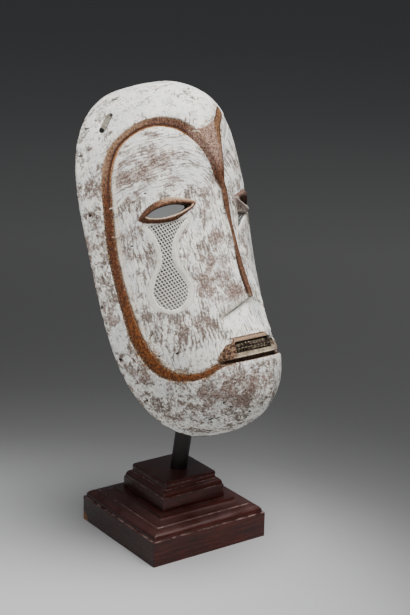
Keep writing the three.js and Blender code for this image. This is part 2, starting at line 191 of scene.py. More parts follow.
# Tool marks: the middle of the forehead's arch, the spacing of the furrows there and of the rows on
# the cheeks, and how far the marks wander
ARCH_MIDDLE = (-50, 15)
FURROW = 2.9
ROW = 3.1
BEND = 9

# The brown line along the right of the lip and chin: heights from below, and how far right it lies
RIGHT_LIMB = [
    (-170, 30), (-160, 38.5), (-150, 45), (-140, 47.5), (-130, 45), (-120, 45), (-110, 37.5), (-100, 38),
    (-90, 26.5), (-86, 40), (-80, 73), (-70, 76), (-60, 77.5),
]

# The stand
ROD_RADIUS = 9.4
ROD_FOOT = (4.7, -2.7, 74.5)
ROD_RISE = (0, -0.208, 1)
ROD_SUNK = 11
ROD_LENGTH_ABOVE = 277
ROD_ROUNDING = 0.6
MITRE_ROUNDING = 1.2
CHIPPED_CORNER = (-75, 75, 0)
# Heights of the arrises, worn and given a painted highlight
ARRIS_WEAR_AND_HIGHLIGHTS = (28.7, 38.0, 59.0, 66.0, 70.4)

# The studio: the floor's painted pool of light as distance from its lightest place and shade, the painted
# light patch seen through the eye, and lamps as name, place, what they point at, width and strength
FLOOR_HALF = 12
FLOOR_LIGHT_POOL = (-0.313, -0.133)
FLOOR_REACH = 8.0
FLOOR_PAINTED_SHADES = [
    (0, 0.53), (0.2, 0.49), (0.3, 0.45), (0.4, 0.36), (0.48, 0.21), (0.56, 0.11), (0.65, 0.08),
    (0.75, 0.058), (0.9, 0.053), (1.2, 0.058), (1.6, 0.085), (2.5, 0.12), (4.0, 0.145), (8.0, 0.165),
]
PAINTED_GLOW = (0.88, 1.32)
PAINTED_GLOW_REACH = (0.06, 0.16)
PAINTED_GLOW_SHADE = 0.35
AIR_COLOUR = (150, 152, 156)
AIR_STRENGTH = 0.45
LAMPS = [
    ("overhead", (0.2, -0.5, 1.8), (0, 0, 0.25), 1.4, 58),
    ("front_left", (-1.5, -0.9, 1.5), (0, 0, 0.35), 1.2, 11),
    ("low_front", (-1.1, -1.5, 0.3), (0, 0, 0.2), 1.0, 5.5),
]

# How fine the mask's surface is made, in millimetres
VOXEL = 1.05
FIELD_STEP = 1.0
MASK_TRIANGLES = 190000
FRONT_REACH = 2.0
HOLLOW_REACH = 2.5


# Shapes of the face

def mask_axes():
    """The mask's right, up and outward directions, as the columns of a matrix."""
    turn = Matrix.Rotation(math.radians(MASK_TURN), 3, "Z")
    lean = Matrix.Rotation(math.radians(90 - MASK_LEAN), 3, "X")
    tip = Matrix.Rotation(math.radians(-MASK_TIP), 3, "Z")
    return np.array(turn @ lean @ tip)


AXES = mask_axes()


def to_face(points):
    """Points of the scene, in metres, to the mask's own axes in millimetres."""
    return (points / MM - MASK_PLACE) @ AXES


def from_face(points):
    return (points @ AXES.T + MASK_PLACE) * MM


def end_value(form, v, name):
    return np.where(v > 0, form["up"][name], form["down"][name])


def half_width_at(v, form=OUTSIDE):
    share = np.clip(np.abs(v) / end_value(form, v, "reach"), 0, 1)
    bulk = np.clip(1 - share ** end_value(form, v, "flank"), 0, 1)
    return form["half_width"] * bulk ** (1 / end_value(form, v, "corner"))


def depth_at(v, form=OUTSIDE):
    share = np.clip(np.abs(v) / end_value(form, v, "reach"), 0, 1)
    end = end_value(form, v, "end")
    bulk = np.clip(1 - share ** end, 0, 1) ** (1 / end)
    return (form["depth"] + end_value(form, v, "swell") * share ** 2) * bulk


def height_at(u, v, form=OUTSIDE):
    x = np.clip(np.abs(u) / np.maximum(half_width_at(v, form), 1e-6), 0, 1)
    keel = form["keel"]
    return depth_at(v, form) * (1 - keel * x - (1 - keel) * x ** form["belly"])


def smoothstep(value, low, high):
    t = np.clip((value - low) / (high - low), 0, 1)
    return t * t * (3 - 2 * t)


def unevenness(points, size, seed):
    """Smooth random values from -1 to 1 that change over about this many millimetres."""
    table = np.random.default_rng(seed).uniform(-1, 1, 4096)
    cell = points / size
    base = np.floor(cell).astype(np.int64)
    share = cell - base
    share = share * share * (3 - 2 * share)
    total = 0
    for corner in np.ndindex(2, 2, 2):
        spot = base + corner
        key = (spot[:, 0] * 73856093) ^ (spot[:, 1] * 19349663) ^ (spot[:, 2] * 83492791)
        weight = np.where(corner, share, 1 - share).prod(1)
        total = total + weight * table[key % 4096]
    return total


def cheek_sunk(u, v):
    """How much deeper the right cheek lies than the left."""
    cheek, along = RIGHT_CHEEK, RIGHT_CHEEK_ALONG
    across = (u - cheek["middle"]) / np.where(u < cheek["middle"], cheek["inward"], cheek["outward"])
    share = smoothstep(-v, -along["from"], -along["full"]) * smoothstep(v, along["end"], along["fading"])
    return cheek["sunk"] * np.maximum(0, 1 - across ** 2) * share


def panel_at(u, v):
    """The sunk panel's surface: a soft pillow that drops towards its edge, less so beside the nose."""
    middle_u, middle_v = LOBE_MIDDLE
    across = (np.abs(u) - middle_u) / LOBE_REACH["across"]
    along = (v - middle_v) / np.where(v > middle_v, LOBE_REACH["up"], LOBE_REACH["down"])
    edge = np.minimum(np.hypot(across, along), 1.05)
    pillow = np.where(u < 0, PILLOW[-1], PILLOW[1])
    beside_crest = smoothstep(middle_u - np.abs(u), 10, 50)
    toward_nose = smoothstep(50 - v, 0, 130)
    at_top = smoothstep(v, RIGHT_FOREHEAD["from"], RIGHT_FOREHEAD["full"])
    eased = np.where(u < 0, 1, 1 - RIGHT_FOREHEAD["eased"] * at_top)
    drop = PANEL_DROP * edge ** pillow * (1 - 0.6 * beside_crest * toward_nose) * eased
    return height_at(u, v) - drop - cheek_sunk(u, v)


def curve_through(points, count, closed=False):
    """Evenly spaced points on a smooth curve through the given ones."""
    knots = np.array(points, float)
    if closed:
        knots = np.vstack([knots[-1:], knots, knots[:2]])
    else:
        knots = np.vstack([2 * knots[:1] - knots[1:2], knots, 2 * knots[-1:] - knots[-2:-1]])
    line = []
    for a, b, c, d in zip(knots, knots[1:], knots[2:], knots[3:]):
        for t in np.linspace(0, 1, 16, endpoint=False):
            line.append(0.5 * (2 * b + (c - a) * t + (2 * a - 5 * b + 4 * c - d) * t ** 2
                               + (3 * b - a - 3 * c + d) * t ** 3))
    line.append(knots[-2])
    line = np.array(line)
    run = np.concatenate([[0], np.cumsum(np.linalg.norm(np.diff(line, axis=0), axis=1))])
    at = np.linspace(0, run[-1], count, endpoint=not closed)
    return np.stack([np.interp(at, run, column) for column in line.T], 1)


def signed_distance(points, outline):
    """Distance of points to a closed outline, negative inside."""
    start, end = outline, np.roll(outline, -1, axis=0)
    result = np.empty(len(points))
    side = end - start
    for low in range(0, len(points), 8000):
        p = points[low:low + 8000]
        du = p[:, :1] - start[:, 0]
        dv = p[:, 1:] - start[:, 1]
        share = np.clip((du * side[:, 0] + dv * side[:, 1]) / (side ** 2).sum(1), 0, 1)
        near = np.sqrt(((du - share * side[:, 0]) ** 2 + (dv - share * side[:, 1]) ** 2).min(1))
        over = (start[:, 1] > p[:, 1:]) != (end[:, 1] > p[:, 1:])
        with np.errstate(divide="ignore", invalid="ignore"):
            cut = start[:, 0] + dv * side[:, 0] / side[:, 1]
        inside = (over & (p[:, :1] < cut)).sum(1) % 2 == 1
        result[low:low + 8000] = np.where(inside, -near, near)
    return result


def lobe_outlines(side):
    """The panel's own edge and the band's outer edge, as outlines of the left or right lobe."""
    arc = curve_through(LOBE_EDGE, 80)
    run = np.gradient(arc[:, :2], axis=0)
    out = np.stack([run[:, 1], -run[:, 0]], 1)
    out /= np.linalg.norm(out, axis=1)[:, None]
    outer_arc = arc[:, :2] + out * arc[:, 2:]
    crest = CREST_LEFT if side < 0 else -CREST_RIGHT
    under = 1.5
    straight = np.array([
        (under, -125), (under, -105), (under, NOSE_TIP - 8), (crest - 2, NOSE_TIP + 1), (crest - 2, -60),
        (crest - 2, -40), (crest - 2.2, -20), (crest - 2.4, 0), (crest - 2.6, 15), (crest - 3, 30),
        (crest - 3.4, 38),
    ])
    outer_straight = straight + np.where(straight[:, :1] < 0, [[1.6, 0]], [[0, 0]])
    inner = np.vstack([arc[:, :2], straight])
    outer = np.vstack([outer_arc, outer_straight])
    flip = np.array([-side, 1])
    return inner * flip, outer * flip


def right_eye(points):
    """An outline of the left eye as it lies on the right, where it is longer towards the nose."""
    place = np.array(points, float)
    place[:, 0] = RIGHT_EYE["outer"] - (RIGHT_EYE["outer"] + place[:, 0]) * RIGHT_EYE["stretch"]
    return place


def tear_outline(rows):
    left = [(l, v) for v, l, r in rows]
    right = [(r, v) for v, l, r in reversed(rows)]
    return np.vstack([curve_through(left, 24), curve_through(right, 24)])


def reach_of_segment(u, v, u0, v0, u1, v1):
    """Distance to a straight stretch from one point to another."""
    du, dv = u1 - u0, v1 - v0
    share = np.clip(((u - u0) * du + (v - v0) * dv) / (du * du + dv * dv), 0, 1)
    return np.hypot(u - u0 - share * du, v - v0 - share * dv)


def nearest_segment(u, v, segments):
    return np.minimum.reduce([reach_of_segment(u, v, *ends) for ends in segments])


def nearest_spot(u, v, spots):
    return np.minimum.reduce([np.hypot(u - spot[0], v - spot[1]) for spot in spots])


def mounds(u, v, spots):
    """Soft round mounds added up, each with its place on the face, reach and height."""
    return sum(rise * np.exp(-((u - at_u) ** 2 + (v - at_v) ** 2) / reach ** 2)
               for at_u, at_v, reach, rise in spots)


class DistanceMap:
    """Distance to the nearest of some outlines, worked out once on a grid and read between its points."""

    LOW = np.array([-118.0, -220.0])
    HIGH = np.array([118.0, 178.0])

    def __init__(self, outlines):
        self.shape = ((self.HIGH - self.LOW) / FIELD_STEP + 1).astype(int)
        spots = np.indices(self.shape).reshape(2, -1).T * FIELD_STEP + self.LOW
        distances = [signed_distance(spots, line) for line in outlines]
        self.values = np.minimum.reduce(distances).reshape(self.shape)

    def at(self, u, v):
        place = (np.stack([u, v]) - self.LOW[:, None]) / FIELD_STEP
        place = np.clip(place, 0, (self.shape - 1.001)[:, None])
        i, j = place.astype(int)
        x, y = place - [i, j]
        grid = self.values
        low = grid[i, j] * (1 - x) + grid[i + 1, j] * x
        high = grid[i, j + 1] * (1 - x) + grid[i + 1, j + 1] * x
        return low * (1 - y) + high * y


LOBES = [lobe_outlines(side) for side in (-1, 1)]
MAPS = {
    "panel": DistanceMap([inner for inner, _ in LOBES]),
    "border": DistanceMap([outer for _, outer in LOBES]),
    "lids": DistanceMap([curve_through(points, 48, True) for points in (EYE_LIDS, right_eye(EYE_LIDS))]),
    "slits": DistanceMap([curve_through(points, 48, True) for points in (EYE_SLIT, right_eye(EYE_SLIT))]),
    "tears": DistanceMap([tear_outline(LEFT_TEAR), tear_outline(RIGHT_TEAR)]),
    "crest": DistanceMap([np.array(CREST_PAINT, float)]),
}


def off_nearest(value, spacing):
    """Distance to the nearest whole number of spacings, for numbers and for values of a material."""
    return abs((value / spacing + 0.5) % 1 - 0.5) * spacing


def lines_across(u, v, angle, spacing):
    """Distance to the nearest of a set of evenly spaced parallel lines."""
    along = math.radians(angle)
    return off_nearest(v * math.cos(along) - u * math.sin(along), spacing)


class Face:
    """Distances to the carved outlines at points of the face, and the carved surface's height there."""

    def __init__(self, u, v):
        self.u, self.v = u, v
        for name, distance_map in MAPS.items():
            setattr(self, name, distance_map.at(u, v))

    def nose_edge(self):
        """The way out along the nose's lower edge as a share of its wing, and the edge's height there."""
        across = np.abs(self.u) / NOSE_WING[0]
        return across, NOSE_TIP + (NOSE_WING[1] - NOSE_TIP) * across

    def scoop(self):
        """How far the lip falls back under the nose, sharply on the left and softly on the right."""
        across, top = self.nose_edge()
        y = (self.v - MOUTH["top"]) / (top - MOUTH["top"])
        scooped = (across < 1) & (y > 0) & (y < 1)
        fall = np.where(self.u < 0, y, 2 * y * (1 - y))
        depth = SCOOP_DEPTH * (1 - np.clip(across, 0, 1) ** 1.5) * fall + 0.4 - 1.5 * (1 - y)
        return np.where(scooped, depth, 0)

    def lip(self):
        """1 on the lip between nose and mouth, fading out at its sides and at the nose's underside."""
        _, top = self.nose_edge()
        under = smoothstep(top - self.v, 0.0, 1.2) * smoothstep(self.v, MOUTH["top"] - 3, MOUTH["top"] - 1)
        return under * smoothstep(-np.abs(self.u), -NOSE_WING[0] - 5, -NOSE_WING[0] + 3)

    def under_nose(self):
        """Distance below the nose's lower edge, as far as its wings reach, and far away beyond them."""
        across, top = self.nose_edge()
        return np.where(across < 1.05, top - self.v, 30)

    def hatching(self):
        """0 on the raised lines, 1 in the cut cells between them."""
        across, down = (lines_across(self.u, self.v, *line) for line in (HATCH_ACROSS, HATCH_DOWN))
        cell = smoothstep(np.minimum(across, down), HATCH_LINE / 2 - 0.15, HATCH_LINE / 2 + 0.35)
        return cell * smoothstep(-self.tears, 0.6, TEAR_MARGIN)

    def in_block(self, block, soft=0.5):
        """1 inside the mouth or its opening, whose upper corners are cut away, fading to 0 at its edges."""
        low, high = MOUTH_CORNERS
        corner = np.clip((self.v - low) / (high - low), 0, 1) ** 2
        left = block["left"] + block["cut_left"] * corner
        right = block["right"] - block["cut_right"] * corner
        sides = np.minimum(self.u - left, right - self.u)
        edge = np.minimum.reduce([sides, self.v - block["bottom"], block["top"] - self.v])
        return smoothstep(edge, -soft, soft)

    def mouth(self):
        """Height of the mouth over the outside: lips, and two rows of teeth in the opening between them."""
        across = (2 * self.u - MOUTH["left"] - MOUTH["right"]) / (MOUTH["right"] - MOUTH["left"])
        front = MOUTH_RISE * (1 - np.clip(np.abs(across), 0, 1) ** 4)
        opened = self.in_block(MOUTH_OPEN)
        tooth = off_nearest(self.u, TOOTH_PITCH)
        rows = 0
        for low, high in TOOTH_ROWS:
            point = 0.45 + 0.9 * np.clip((high - self.v) / (high - low), 0, 1)
            in_row = smoothstep(self.v, low, low + 0.8) * smoothstep(-self.v, -high, 0.8 - high)
            rows = rows + in_row * smoothstep(tooth, point - 0.3, point + 0.3)
        return front - opened * (MOUTH_OPEN_DEPTH - TOOTH_RISE * rows)

    def height(self, fine=False):
        """The carved surface's height, and with fine also the lines in the tears, teeth and wormholes."""
        u, v = self.u, self.v
        skin = height_at(u, v)
        floor = panel_at(u, v)
        band = np.clip(self.panel / np.maximum(self.panel - self.border, 1e-3), 0, 1)
        slope = floor + (skin - BORDER_LIP - floor) * band ** 1.3
        slope -= BAND_CREASE * np.exp(-(np.abs(self.panel - 0.4) / 0.9) ** 2) * smoothstep(-self.border, 0, 2)
        lip = smoothstep(self.border, -0.3, 0.5)
        rounding = 0.6 * np.exp(-np.maximum(self.border, 0) / 1.2) * (self.border > 0)
        height = slope * (1 - lip) + (skin - rounding) * lip
        height = np.where(self.panel < 0, floor, height)
        lid_share = np.clip(-self.lids / np.maximum(self.slits - self.lids, 1e-3), 0, 1)
        lid = LID_RISE * smoothstep(lid_share, 0.0, 0.55) * (1 - 0.25 * smoothstep(lid_share, 0.75, 1))
        height = np.where(self.lids < 0, floor + lid, height)
        height -= TEAR_SUNK * smoothstep(-self.tears, -0.4, 0.9) * (self.lids > 0)
        height -= self.scoop() * (self.panel < 3)
        if fine:
            height -= HATCH_DEPTH * self.hatching() * (self.lids > 0)
            height = np.where(self.in_block(MOUTH) > 0.9, skin + self.mouth(), height)
            pits = nearest_spot(u, v, WORMHOLES)
            height -= WORMHOLE_DEPTH * smoothstep(-pits, -WORMHOLE_RADIUS - 0.3, -WORMHOLE_RADIUS + 0.3)
        spots = np.stack([u, v, 0 * u], 1)
        for size, rise, seed in UNEVEN:
            height += rise * unevenness(spots, size, seed) * smoothstep(self.lids, 0, 6)
        return height - mounds(u, v, RIM_DENTS)


def slot_place(share):
    """A point of the forehead slot's axis, some way down from its upper end."""
    top, low = (np.array([u, v, height_at(u, v)]) for u, v in SLOT_ENDS)
    return top + (low - top) * share


def into_slot(points):
    """Distance into the forehead's slot from its edge."""
    top = slot_place(0)
    run = slot_place(1) - top
    inset = SLOT_HALF / np.linalg.norm(run)
    share = np.clip((points - top) @ run / (run @ run), inset, 1 - inset)
    return SLOT_HALF - np.linalg.norm(points - top - share[:, None] * run, axis=1)


# The mask's mesh

def add_object(name, data):
    """Puts a new object with this mesh, lamp or camera into the scene."""
    made = bpy.data.objects.new(name, data)
    bpy.context.scene.collection.objects.link(made)
    return made


def merged_copy(node, name):
    """A copy of a node of the part, with its corners joined."""
    mesh = frame["nodes"][node].data.copy()
    bm = bmesh.new()
    bm.from_mesh(mesh)
    bmesh.ops.remove_doubles(bm, verts=bm.verts, dist=1e-6)
    bm.to_mesh(mesh)
    bm.free()
    mesh.materials.clear()
    return add_object(name, mesh)


def apply_modifier(piece, kind, **settings):
    modifier = piece.modifiers.new(kind.lower(), kind)
    for name, value in settings.items():
        setattr(modifier, name, value)
    bpy.context.view_layer.objects.active = piece
    bpy.ops.object.modifier_apply(modifier=modifier.name)


def of_vertices(mesh, name="co"):
    """The places of a mesh's vertices, or their normals."""
    values = np.empty(len(mesh.vertices) * 3)
    mesh.vertices.foreach_get(name, values)
    return values.reshape(-1, 3)


def settle(points, normals, height, reach):
    """Moves points onto a height over the face where they are near it and face the same way."""
    step = 0.25
    u, v = points[:, 0], points[:, 1]
    here = height(u, v)
    slope_u = (height(u + step, v) - here) / step
    slope_v = (height(u, v + step) - here) / step
    steep = 1 + slope_u ** 2 + slope_v ** 2
    gap = points[:, 2] - here
    away = np.abs(gap) / np.sqrt(steep)
    upright = np.stack([-slope_u, -slope_v, np.ones(len(points))], 1)
    facing = np.abs((normals * upright).sum(1)) / np.sqrt(steep)
    trust = smoothstep(-away, -1.6 * reach, -reach) * smoothstep(facing, 0.5, 0.8)
    return points - upright * (gap / steep * trust)[:, None]


def carve(mesh, fine):
    """Moves the mask's front and hollow onto their true surfaces, and leaves the walls of cuts and holes."""
    points = to_face(of_vertices(mesh))
    normals = of_vertices(mesh, "normal") @ AXES
    front = np.flatnonzero((normals[:, 2] > 0.05) & (points[:, 2] > 1) & (into_slot(points) < -0.2))
    points[front] = settle(points[front], normals[front], lambda u, v: Face(u, v).height(fine), FRONT_REACH)
    back = np.flatnonzero((normals[:, 2] < -0.05) & (points[:, 2] > 1.5))
    points[back] = settle(points[back], normals[back], lambda u, v: height_at(u, v, HOLLOW), HOLLOW_REACH)
    inside = np.clip(from_face(points), *np.array(cad_box))
    mesh.vertices.foreach_set("co", inside.ravel())
    mesh.update()


def divide_where(mesh, wanted):
    """Cuts in two the edges whose both ends are wanted."""
    chosen = wanted(to_face(of_vertices(mesh)))
    bm = bmesh.new()
    bm.from_mesh(mesh)
    edges = [e for e in bm.edges if chosen[e.verts[0].index] and chosen[e.verts[1].index]]
    bmesh.ops.subdivide_edges(bm, edges=edges, cuts=1, use_grid_fill=True)
    bm.to_mesh(mesh)
    bm.free()


def on_front(points):
    """Whether points lie well out from the hollow, where the face's own surface is."""
    return points[:, 2] > 0.75 * height_at(points[:, 0], points[:, 1])


def near_carving(points):
    """Whether points lie near a carved edge."""
    face = Face(points[:, 0], points[:, 1])
    edge = (np.abs(face.panel) < 2.5) | (np.abs(face.border) < 2) | (face.lids < 2) | (face.tears < 1.5)
    edge |= (into_slot(points) > -2) | (nearest_spot(face.u, face.v, WORMHOLES) < 3.5)
    return (edge | (face.in_block(MOUTH, 4) > 0)) & (points[:, 2] > 5) & on_front(points)


def near_fine_carving(points):
    """Whether points lie in a tear, between the lips or by a wormhole."""
    face = Face(points[:, 0], points[:, 1])
    fine = (face.tears < 0) | (face.in_block(MOUTH_OPEN, 2) > 0)
    fine |= nearest_spot(face.u, face.v, WORMHOLES) < 2
    return fine & on_front(points)


def store(mesh, name, values):
    attribute = mesh.attributes.new(name, "FLOAT", "POINT")
    attribute.data.foreach_set("value", values.astype(np.float32))


def make_mask():
    """The carved mask from its solid, with what its material needs to know stored at each vertex."""
    piece = merged_copy("mask", "mask_carved")
    apply_modifier(piece, "REMESH", mode="VOXEL", voxel_size=VOXEL * MM)
    apply_modifier(piece, "SMOOTH", factor=0.5, iterations=2)
    mesh = piece.data
    carve(mesh, False)
    divide_where(mesh, near_carving)
    divide_where(mesh, near_fine_carving)
    carve(mesh, True)
    faces = sum(len(p.vertices) - 2 for p in mesh.polygons)
    apply_modifier(piece, "DECIMATE", ratio=MASK_TRIANGLES / faces)
    mesh.shade_smooth()
    points = to_face(of_vertices(mesh))
    u, v, w = points.T
    face = Face(u, v)
    for name in MAPS:
        store(mesh, name, getattr(face, name))
    middle = (face.height() + height_at(u, v, HOLLOW)) / 2
    store(mesh, "front", smoothstep(w - middle, -1.5, 1.5))
    store(mesh, "pits", nearest_spot(u, v, WORMHOLES))
    store(mesh, "slot", into_slot(points))
    store(mesh, "slot_hole", np.linalg.norm(points - slot_place(SLOT_HOLE[0]), axis=1))
    store(mesh, "limb", np.interp(v, *zip(*RIGHT_LIMB)) - u)
    store(mesh, "lip", face.lip())
    store(mesh, "under_nose", face.under_nose())
    store(mesh, "scratches", nearest_segment(u, v, PALE_SCRATCHES))
    store(mesh, "cracks", nearest_segment(u, v, DARK_CRACKS))
    store(mesh, "rubbed", np.minimum(mounds(u, v, RUBBED), 1.3))
    return piece


# The stand's pieces

def finished_mesh(bm, name):
    mesh = bpy.data.meshes.new(name)
    bm.to_mesh(mesh)
    bm.free()
    return mesh


def round_off(bm, edges, radius):
    bmesh.ops.bevel(bm, geom=edges, affect="EDGES", offset=radius * MM, segments=3, profile=0.5, material=-1)


def square_block(name, profile):
    """A square block whose sides follow a profile of half widths and heights."""
    bm = bmesh.new()
    half, height = profile[0]
    bmesh.ops.create_grid(bm, x_segments=1, y_segments=1, size=half * MM,
                          matrix=Matrix.Translation((0, 0, height * MM)))
    ring = list(bm.edges)
    for half_next, height_next in profile[1:]:
        made = bmesh.ops.extrude_edge_only(bm, edges=ring)["geom"]
        verts = [part for part in made if isinstance(part, bmesh.types.BMVert)]
        ring = [part for part in made if isinstance(part, bmesh.types.BMEdge) and len(part.link_faces) == 1]
        bmesh.ops.scale(bm, verts=verts, vec=(half_next / half, half_next / half, 1))
        bmesh.ops.translate(bm, verts=verts, vec=(0, 0, (height_next - height) * MM))
        half, height = half_next, height_next
    bmesh.ops.edgeloop_fill(bm, edges=ring)
    bmesh.ops.recalc_face_normals(bm, faces=bm.faces)
    mitres = [e for e in bm.edges if abs(e.verts[0].co.z - e.verts[1].co.z) > 1e-5
              and min(abs(vert.co.x) - abs(vert.co.y) for vert in e.verts) > -1e-6]
    round_off(bm, mitres, MITRE_ROUNDING)
    mesh = finished_mesh(bm, name)
    mesh.shade_smooth()
    mesh.set_sharp_from_angle(angle=math.radians(30))
    return add_object(name, mesh)


def quarter(start, end, bulging, steps=7):
    """Points of a quarter round from one profile point to another, its end left out of the start."""
    (x0, z0), (x1, z1) = start, end
    points = []
    for k in range(1, steps + 1):
        angle = math.pi / 2 * k / steps
        if bulging:
            points.append((x1 + (x0 - x1) * math.cos(angle), z0 + (z1 - z0) * math.sin(angle)))
        else:
            points.append((x0 + (x1 - x0) * math.sin(angle), z1 + (z0 - z1) * math.cos(angle)))
    return points


def lower_profile():
    profile = [(75, 0), (75, 28.4), (72.5, 29), (72.5, 30.5)]
    profile += quarter((72.5, 30.5), (62, 37.5), True)
    profile += [(61, 38.5)] + quarter((61, 38.5), (50, 42.5), False)
    return profile + [(49.5, 44.2)]


def upper_profile():
    profile = [(41.4, 44.5), (41, 58.2), (40, 59)]
    profile += quarter((40, 59), (35.5, 65.5), True)
    profile += [(35, 66)] + quarter((35, 66), (33.8, 70), False)
    return profile + [(34.2, 70.8)] + quarter((34.2, 70.8), (32.4, 74.5), True)


def make_rod():
    """The round rod, from its seat in the upper tier to the wood behind the nose."""
    rise = Vector(ROD_RISE).normalized()
    length = ROD_SUNK + ROD_LENGTH_ABOVE
    middle = Vector(ROD_FOOT) + rise * (ROD_LENGTH_ABOVE - ROD_SUNK) / 2
    turn = rise.to_track_quat("Z", "Y").to_matrix().to_4x4()
    bm = bmesh.new()
    bmesh.ops.create_cone(bm, cap_ends=True, segments=64, radius1=ROD_RADIUS * MM, radius2=ROD_RADIUS * MM,
                          depth=length * MM, matrix=Matrix.Translation(middle * MM) @ turn)
    ends = [e for e in bm.edges if e.calc_face_angle(0) > 1]
    round_off(bm, ends, ROD_ROUNDING)
    mesh = finished_mesh(bm, "stand_rod")
    mesh.shade_smooth()
    return add_object("stand_rod", mesh)


# Shader helpers

class Value:
    """A number, vector or colour of a material, which can be added, multiplied and mixed."""

    def __init__(self, nodes, socket):
        self.nodes, self.socket = nodes, socket

    def __add__(self, other):
        return self.nodes.math("ADD", self, other)

    def __sub__(self, other):
        return self.nodes.math("SUBTRACT", self, other)

    def __rsub__(self, other):
        return self.nodes.math("SUBTRACT", other, self)

    def __mul__(self, other):
        return self.nodes.math("MULTIPLY", self, other)

    def __truediv__(self, other):
        return self.nodes.math("DIVIDE", self, other)

    def __mod__(self, other):
        return self.nodes.math("FLOORED_MODULO", self, other)

    def __abs__(self):
        return self.nodes.math("ABSOLUTE", self)

    def largest(self, *others):
        return functools.reduce(lambda a, b: self.nodes.math("MAXIMUM", a, b), others, self)

    def least(self, *others):
        return functools.reduce(lambda a, b: self.nodes.math("MINIMUM", a, b), others, self)

    def step(self, low, high, to_low=0.0, to_high=1.0):
        """Goes smoothly from one number to another as this goes from low to high."""
        node = self.nodes.add("ShaderNodeMapRange", self, low, high, to_low, to_high,
                              interpolation_type="SMOOTHSTEP")
        return Value(self.nodes, node.outputs[0])

    def within(self, low, high, soft):
        """1 between two limits, fading to 0 outside them."""
        return self.step(low - soft, low + soft) * self.step(high - soft, high + soft, 1, 0)

    def mix(self, first, second):
        """The colour that goes from the first to the second as this goes from 0 to 1."""
        node = self.nodes.add("ShaderNodeMix", self, data_type="RGBA")
        self.nodes.put(node.inputs[6], first)
        self.nodes.put(node.inputs[7], second)
        return Value(self.nodes, node.outputs[2])

    def between(self, first, second):
        """The number that goes from the first to the second as this goes from 0 to 1."""
        return self * (second - first) + first


class Nodes:
    """Short ways to add and link nodes in one material."""

    def __init__(self, tree):
        self.tree = tree
        self.shader = tree.nodes["Principled BSDF"]

    def add(self, kind, *values, **settings):
        """A node with its settings, and with its inputs given in their order."""
        node = self.tree.nodes.new(kind)
        for name, value in settings.items():
            setattr(node, name, value)
        for socket, value in zip(node.inputs, values):
            self.put(socket, value)
        return node

    def put(self, target, value):
        if isinstance(value, Value):
            self.tree.links.new(value.socket, target)
        else:
            target.default_value = value

    def math(self, operation, *values):
        return Value(self, self.add("ShaderNodeMath", *values, operation=operation).outputs[0])

    def vector(self, operation, *values, output="Vector"):
        return Value(self, self.add("ShaderNodeVectorMath", *values, operation=operation).outputs[output])

    def stretched(self, place, *factors):
        return self.vector("MULTIPLY", place, factors)

    def distance(self, place, point):
        return self.vector("DISTANCE", place, point, output="Value")

    def joined(self, *parts):
        return Value(self, self.add("ShaderNodeCombineXYZ", *parts).outputs[0])

    def parts(self, vector):
        return [Value(self, part) for part in self.add("ShaderNodeSeparateXYZ", vector).outputs]

    def noise(self, vector, scale, detail=4.0, roughness=0.6, distortion=0.0, output=0):
        node = self.add("ShaderNodeTexNoise")
        given = {"Vector": vector, "Scale": scale, "Detail": detail, "Roughness": roughness,
                 "Distortion": distortion}
        for name, value in given.items():
            self.put(node.inputs[name], value)
        return Value(self, node.outputs[output])

    def attribute(self, name):
        return Value(self, self.add("ShaderNodeAttribute", attribute_name=name).outputs["Fac"])

    def place(self):
        return Value(self, self.add("ShaderNodeTexCoord").outputs["Object"])

    def millimetres(self):
        return self.stretched(self.place(), 1 / MM, 1 / MM, 1 / MM)

    def coat(self, colour, roughness, shine):
        """Gives the surface its colour, roughness and shine."""
        self.put(self.shader.inputs["Base Color"], colour)
        self.put(self.shader.inputs["Roughness"], roughness)
        self.put(self.shader.inputs["Specular IOR Level"], shine)

    def emboss(self, relief, strength, depth):
        """Lets the light see a fine relief of some millimetres' depth."""
        bump = self.add("ShaderNodeBump")
        for name, value in {"Strength": strength, "Distance": depth * MM, "Height": relief}.items():
            self.put(bump.inputs[name], value)
        self.put(self.shader.inputs["Normal"], Value(self, bump.outputs[0]))


def new_material(name):
    material = bpy.data.materials.new(name)
    material.use_nodes = True
    return material, Nodes(material.node_tree)


def rgb(*levels):
    """A colour as seen in a picture, 0 to 255, to the linear values that a shader takes."""
    linear = [level / 255 / 12.92 if level <= 10 else ((level / 255 + 0.055) / 1.055) ** 2.4
              for level in levels]
    return (*linear, 1)


# The mask's material

class Spot:
    """What the mask's material knows at each place: coordinates, distances to the carving, and noises."""

    def __init__(self, nodes):
        moved = nodes.vector("MULTIPLY_ADD", nodes.place(), (1 / MM,) * 3, tuple(-MASK_PLACE))
        along = [nodes.vector("DOT_PRODUCT", moved, tuple(axis), output="Value") for axis in AXES.T]
        self.u, self.v = along[:2]
        self.place = nodes.joined(*along)
        for name in (*MAPS, "front", "rubbed", "pits", "slot", "slot_hole", "limb", "lip", "under_nose",
                     "scratches", "cracks"):
            setattr(self, name, nodes.attribute(name))
        self.blotch = nodes.noise(self.place, 0.035, 4)
        self.mottle = nodes.noise(self.place, 0.13, 5, 0.62)
        self.crumb = nodes.noise(self.place, 0.45, 4, 0.7)
        self.speck = nodes.noise(self.place, 0.95, 2)
        self.ragged = nodes.noise(self.place, 0.8, 4, 0.75) * 2.4 - 1.2
        self.in_panel = self.panel.step(-2, 1, 1, 0)
        push = nodes.noise(self.place, 0.045, 2, 0.5, output="Color")
        self.bent = nodes.vector("MULTIPLY_ADD", push, (BEND,) * 3, self.place)

    def roughened(self, distance, amount):
        return self.ragged * amount + distance


